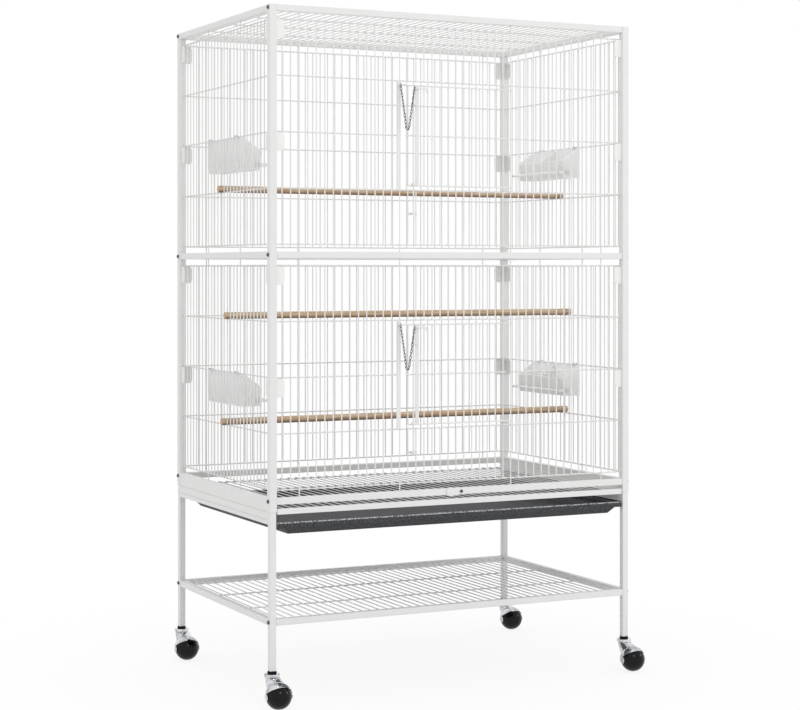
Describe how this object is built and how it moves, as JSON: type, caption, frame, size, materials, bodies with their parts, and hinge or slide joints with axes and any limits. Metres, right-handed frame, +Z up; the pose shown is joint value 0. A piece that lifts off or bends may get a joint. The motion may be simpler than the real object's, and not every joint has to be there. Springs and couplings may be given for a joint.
{
  "type": "bird cage",
  "caption": "Tall two-tier wire flight cage for birds on a rolling stand, with front doors, floor grate, tray, perches, feed cups and a shelf.",
  "frame": {"origin": "on the floor at the middle of the object's plan box", "axes": "+Z up, +X to the right seen from the doors, doors on the -Y side"},
  "size_m": [0.8508, 0.59, 1.346],
  "materials": {
    "white_powder_coat": "white powder coat",
    "grey_hammertone": "dark grey hammertone paint",
    "chrome_plate": "bright plate",
    "black_ball": "gloss black",
    "black_collar": "satin black",
    "turned_wood": "bare turned hardwood",
    "milky_plastic": "milky translucent moulding",
    "zinc_chain": "zinc plate",
    "dark_screw": "black oxide"
  },
  "bodies": {
    "cage": {"post_front_left": "white_powder_coat", "leg_front_left": "white_powder_coat", "post_front_right": "white_powder_coat", "leg_front_right": "white_powder_coat", "post_back_right": "white_powder_coat", "leg_back_right": "white_powder_coat", "post_back_left": "white_powder_coat", "leg_back_left": "white_powder_coat", "front_top_rail": "white_powder_coat", "front_mid_rail": "white_powder_coat", "front_base_rail": "white_powder_coat", "front_shelf_rail": "white_powder_coat", "back_top_rail": "white_powder_coat", "back_mid_rail": "white_powder_coat", "back_base_rail": "white_powder_coat", "back_shelf_rail": "white_powder_coat", "left_top_rail": "white_powder_coat", "left_mid_rail": "white_powder_coat", "left_base_rail": "white_powder_coat", "left_tray_rail": "white_powder_coat", "left_shelf_rail": "white_powder_coat", "right_top_rail": "white_powder_coat", "right_mid_rail": "white_powder_coat", "right_base_rail": "white_powder_coat", "right_tray_rail": "white_powder_coat", "right_shelf_rail": "white_powder_coat", "upper_front_panel": "white_powder_coat", "upper_right_panel": "white_powder_coat", "upper_back_panel": "white_powder_coat", "upper_left_panel": "white_powder_coat", "upper_left_cup": "milky_plastic", "upper_right_cup": "milky_plastic", "lower_front_panel": "white_powder_coat", "lower_right_panel": "white_powder_coat", "lower_back_panel": "white_powder_coat", "lower_left_panel": "white_powder_coat", "lower_left_cup": "milky_plastic", "lower_right_cup": "milky_plastic", "top_grille": "white_powder_coat", "shelf_grille": "white_powder_coat", "tag_screw": "dark_screw", "perches": "turned_wood", "leg_sockets": "black_collar"},
    "upper_door": {"upper_door": "white_powder_coat", "upper_chain": "zinc_chain"},
    "upper_lock_rod": {"upper_lock_rod": "white_powder_coat"},
    "lower_door": {"lower_door": "white_powder_coat", "lower_chain": "zinc_chain"},
    "lower_lock_rod": {"lower_lock_rod": "white_powder_coat"},
    "floor_grate": {"floor_grate": "white_powder_coat"},
    "tray": {"tray": "grey_hammertone"},
    "latch_tag": {"latch_tag": "white_powder_coat"},
    "caster_front_left": {"caster_hood_front_left": "chrome_plate"},
    "ball_front_left": {"caster_ball_front_left": "black_ball"},
    "caster_front_right": {"caster_hood_front_right": "chrome_plate"},
    "ball_front_right": {"caster_ball_front_right": "black_ball"},
    "caster_back_right": {"caster_hood_back_right": "chrome_plate"},
    "ball_back_right": {"caster_ball_back_right": "black_ball"},
    "caster_back_left": {"caster_hood_back_left": "chrome_plate"},
    "ball_back_left": {"caster_ball_back_left": "black_ball"}
  },
  "joints": [
    {"name": "upper_door_hinge", "type": "hinge", "parent": "cage", "child": "upper_door", "pos_m": [0.12577, -0.236, 1.10225], "axis": [0, 0, 1], "range_deg": [0, 160]},
    {"name": "upper_rod_slide", "type": "slide", "parent": "upper_door", "child": "upper_lock_rod", "axis": [0, 0, 1], "range_m": [-0.025, 0]},
    {"name": "lower_door_hinge", "type": "hinge", "parent": "cage", "child": "lower_door", "pos_m": [0.12577, -0.236, 0.6285], "axis": [0, 0, 1], "range_deg": [0, 160]},
    {"name": "lower_rod_slide", "type": "slide", "parent": "lower_door", "child": "lower_lock_rod", "axis": [0, 0, 1], "range_m": [-0.025, 0]},
    {"name": "grate_slide", "type": "slide", "parent": "cage", "child": "floor_grate", "axis": [0, -1, 0], "range_m": [0, 0.43]},
    {"name": "tray_slide", "type": "slide", "parent": "cage", "child": "tray", "axis": [0, -1, 0], "range_m": [0, 0.43]},
    {"name": "tag_pivot", "type": "hinge", "parent": "cage", "child": "latch_tag", "pos_m": [0.008, -0.2425, 0.392], "axis": [0, 1, 0], "range_deg": [-90, 0]},
    {"name": "swivel_front_left", "type": "hinge", "parent": "cage", "child": "caster_front_left", "pos_m": [-0.398, -0.236, 0.067], "axis": [0, 0, 1], "continuous": true},
    {"name": "roll_front_left", "type": "hinge", "parent": "caster_front_left", "child": "ball_front_left", "pos_m": [-0.398, -0.27, 0.025], "axis": [1, 0, 0], "continuous": true},
    {"name": "swivel_front_right", "type": "hinge", "parent": "cage", "child": "caster_front_right", "pos_m": [0.398, -0.236, 0.067], "axis": [0, 0, 1], "continuous": true},
    {"name": "roll_front_right", "type": "hinge", "parent": "caster_front_right", "child": "ball_front_right", "pos_m": [0.398, -0.27, 0.025], "axis": [1, 0, 0], "continuous": true},
    {"name": "swivel_back_right", "type": "hinge", "parent": "cage", "child": "caster_back_right", "pos_m": [0.398, 0.28, 0.067], "axis": [0, 0, 1], "continuous": true},
    {"name": "roll_back_right", "type": "hinge", "parent": "caster_back_right", "child": "ball_back_right", "pos_m": [0.398, 0.246, 0.025], "axis": [1, 0, 0], "continuous": true},
    {"name": "swivel_back_left", "type": "hinge", "parent": "cage", "child": "caster_back_left", "pos_m": [-0.398, 0.28, 0.067], "axis": [0, 0, 1], "continuous": true},
    {"name": "roll_back_left", "type": "hinge", "parent": "caster_back_left", "child": "ball_back_left", "pos_m": [-0.398, 0.246, 0.025], "axis": [1, 0, 0], "continuous": true}
  ]
}
